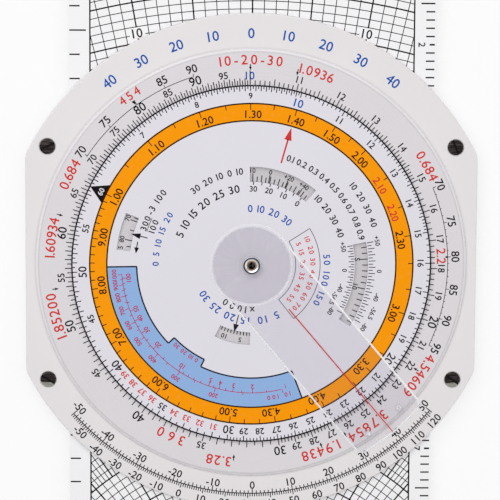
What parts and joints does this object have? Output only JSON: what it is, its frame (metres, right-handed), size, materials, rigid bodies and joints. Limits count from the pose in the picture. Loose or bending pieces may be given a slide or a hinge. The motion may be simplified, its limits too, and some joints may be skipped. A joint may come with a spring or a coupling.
{
  "type": "circular slide rule",
  "caption": "Flat circular slide rule with a turning computer disc, clear cursor, sliding wind chart and a rotating azimuth ring on the back.",
  "frame": {"origin": "on the pivot's axis, at the lowest face, which is the back face of the azimuth ring", "axes": "+Z out of the calculating dial, +Y along the sliding chart towards the end where its rulers start, +X to the right when the dial is read"},
  "size_m": [0.1402, 0.254, 0.0113],
  "materials": {
    "white_plastic": "satin",
    "slide_plastic": "matt",
    "grey_plastic": "satin",
    "dial_plastic": "satin",
    "washer_nylon": "satin",
    "clear_acrylic": "polished",
    "nickel": "plated",
    "brass": "polished",
    "black_screw": "gloss"
  },
  "bodies": {
    "body": {"front_plate": "white_plastic", "rear_plate": "white_plastic", "left_rail": "white_plastic", "right_rail": "white_plastic", "scale_disc": "grey_plastic", "disc_washer": "washer_nylon", "pivot_eyelet": "nickel", "pivot_core": "brass", "pivot_washer": "brass", "corner_screws": "black_screw", "corner_nuts": "black_screw"},
    "slide": {"wind_slide": "slide_plastic"},
    "computer_dial": {"computer_disc": "dial_plastic"},
    "cursor_arm": {"cursor": "clear_acrylic", "cursor_washer": "washer_nylon", "cursor_feet": "clear_acrylic"},
    "wind_dial": {"azimuth_ring": "dial_plastic", "plotting_disc": "clear_acrylic"}
  },
  "joints": [
    {"name": "slide_travel", "type": "slide", "parent": "body", "child": "slide", "axis": [0, 1, 0], "range_m": [-0.1, 0.1]},
    {"name": "computer_dial_turn", "type": "hinge", "parent": "body", "child": "computer_dial", "pos_m": [0, 0, 0.0087], "axis": [0, 0, 1], "continuous": true},
    {"name": "cursor_turn", "type": "hinge", "parent": "body", "child": "cursor_arm", "pos_m": [0, 0, 0.01], "axis": [0, 0, 1], "continuous": true},
    {"name": "wind_dial_turn", "type": "hinge", "parent": "body", "child": "wind_dial", "pos_m": [0, 0, 0.002], "axis": [0, 0, 1], "continuous": true}
  ]
}
